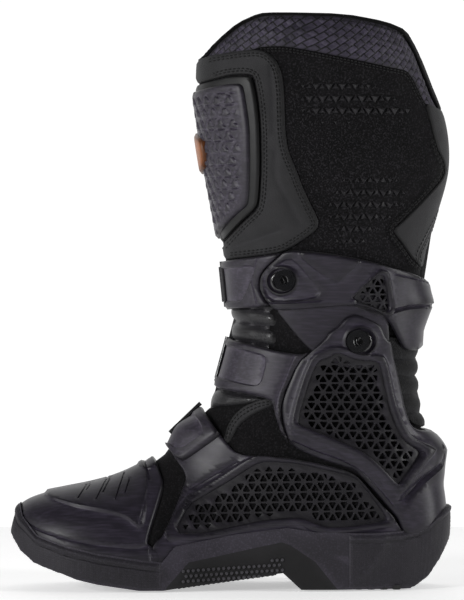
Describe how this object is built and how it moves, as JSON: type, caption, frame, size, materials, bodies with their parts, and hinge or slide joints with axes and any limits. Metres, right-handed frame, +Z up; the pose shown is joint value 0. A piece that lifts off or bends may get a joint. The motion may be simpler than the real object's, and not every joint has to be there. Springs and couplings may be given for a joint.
{
  "type": "riding boot",
  "caption": "Tall hinged off-road motorcycle boot for the right foot, with a moulded ankle brace, shin plate, strap arms with lever buckles, padded collar and a stepped rubber sole.",
  "frame": {"origin": "on the ground under the middle of the boot's length and width", "axes": "+Z up, the toe points along -X, the heel along +X, the inner side faces -Y and the buckles face +Y"},
  "size_m": [0.3143, 0.1324, 0.41],
  "materials": {
    "sole_rubber": "matte, finely dotted side wall",
    "insert_rubber": "matte, small round studs",
    "spring_steel": "plain",
    "board_fibre": "pressed fibre board",
    "footbed_foam": "foam with fabric top",
    "liner_fabric": "padded air mesh",
    "textile_black": "stretch textile",
    "collar_weave": "basket weave, purple black",
    "suede_black": "suede with raised studs",
    "leather_grey": "grained, double stitched",
    "leather_perforated": "perforated, padded ribs",
    "polymer_dark": "satin moulded, bevelled",
    "polymer_grey": "satin, raised triangle pattern",
    "polymer_mesh": "satin triangle lattice",
    "accent_orange": "satin, copper orange",
    "strap_polymer": "satin with ratchet teeth",
    "buckle_metal": "anodised dark, satin",
    "bolt_black": "gloss black"
  },
  "bodies": {
    "foot": {"outsole": "sole_rubber", "waist_insert": "insert_rubber", "shank": "spring_steel", "insole_board": "board_fibre", "footbed": "footbed_foam", "foot_upper": "textile_black", "liner_foot": "liner_fabric", "front_bellows": "leather_perforated", "ankle_gusset": "textile_black", "rear_bellows": "textile_black", "liner_ankle": "liner_fabric", "toe_cap": "polymer_dark", "shift_pad": "polymer_dark", "medial_foot_guard": "polymer_dark", "medial_guard_mesh": "polymer_mesh", "lateral_foot_guard": "polymer_dark", "lateral_guard_mesh": "polymer_mesh", "medial_ankle_bolt": "bolt_black", "lateral_ankle_bolt": "bolt_black", "medial_brace_mesh": "polymer_mesh", "lateral_brace_mesh": "polymer_mesh", "ankle_brace": "polymer_dark", "ankle_strap_arm": "polymer_grey", "ankle_strap_pin": "bolt_black", "instep_strap_arm": "polymer_grey", "instep_strap_pin": "bolt_black", "ankle_catch": "polymer_dark", "instep_catch": "polymer_dark"},
    "cuff": {"shaft": "suede_black", "collar": "collar_weave", "collar_binding": "textile_black", "liner_cuff": "liner_fabric", "calf_panel": "leather_grey", "shin_flap": "leather_grey", "medial_cuff_blade": "polymer_dark", "lateral_cuff_blade": "polymer_dark", "cuff_frame": "polymer_dark", "cuff_frame_mesh": "polymer_mesh", "top_strap_arm": "polymer_grey", "top_strap_bolt": "bolt_black", "top_strap_pin": "bolt_black", "top_catch": "polymer_dark"},
    "shin_door": {"shin_carrier": "polymer_mesh", "shin_plate": "polymer_grey", "shin_accent": "accent_orange", "closure_tab": "textile_black"},
    "top_strap_body": {"top_strap": "strap_polymer", "top_buckle_base": "buckle_metal", "top_lever_pin": "bolt_black"},
    "top_lever_body": {"top_lever": "buckle_metal"},
    "ankle_strap_body": {"ankle_strap": "strap_polymer", "ankle_buckle_base": "buckle_metal", "ankle_lever_pin": "bolt_black"},
    "ankle_lever_body": {"ankle_lever": "buckle_metal"},
    "instep_strap_body": {"instep_strap": "strap_polymer", "instep_buckle_base": "buckle_metal", "instep_lever_pin": "bolt_black"},
    "instep_lever_body": {"instep_lever": "buckle_metal"}
  },
  "joints": [
    {"name": "ankle_flex", "type": "hinge", "parent": "foot", "child": "cuff", "pos_m": [0.09, -0.002, 0.177], "axis": [0, -1, 0], "range_deg": [-6, 10], "deforming": ["front_bellows", "ankle_gusset", "rear_bellows", "liner_ankle"]},
    {"name": "shin_door_hinge", "type": "hinge", "parent": "cuff", "child": "shin_door", "pos_m": [0.0225, -0.0555, 0.3], "axis": [0, 0, 1], "range_deg": [0, 25], "deforming": ["shin_flap"]},
    {"name": "top_strap_swing", "type": "hinge", "parent": "cuff", "child": "top_strap_body", "pos_m": [-0.0052, -0.006, 0.217], "axis": [-0.1, 0, 0.995], "range_deg": [0, 30]},
    {"name": "ankle_strap_swing", "type": "hinge", "parent": "foot", "child": "ankle_strap_body", "pos_m": [-0.0066, -0.006, 0.1642], "axis": [0.2599, 0, 0.9656], "range_deg": [0, 30]},
    {"name": "instep_strap_swing", "type": "hinge", "parent": "foot", "child": "instep_strap_body", "pos_m": [-0.033, -0.006, 0.1206], "axis": [0.72, 0, 0.694], "range_deg": [0, 30]},
    {"name": "top_lever_pivot", "type": "hinge", "parent": "top_strap_body", "child": "top_lever_body", "pos_m": [0.03262, 0.05885, 0.21735], "axis": [0, 0.1376, 0.9905], "range_deg": [0, 100]},
    {"name": "ankle_lever_pivot", "type": "hinge", "parent": "ankle_strap_body", "child": "ankle_lever_body", "pos_m": [0.03586, 0.05427, 0.1567], "axis": [0, 0.0537, 0.9986], "range_deg": [0, 100]},
    {"name": "instep_lever_pivot", "type": "hinge", "parent": "instep_strap_body", "child": "instep_lever_body", "pos_m": [-0.01086, 0.04306, 0.08606], "axis": [0.7826, 0.0742, 0.6181], "range_deg": [0, 100]}
  ]
}
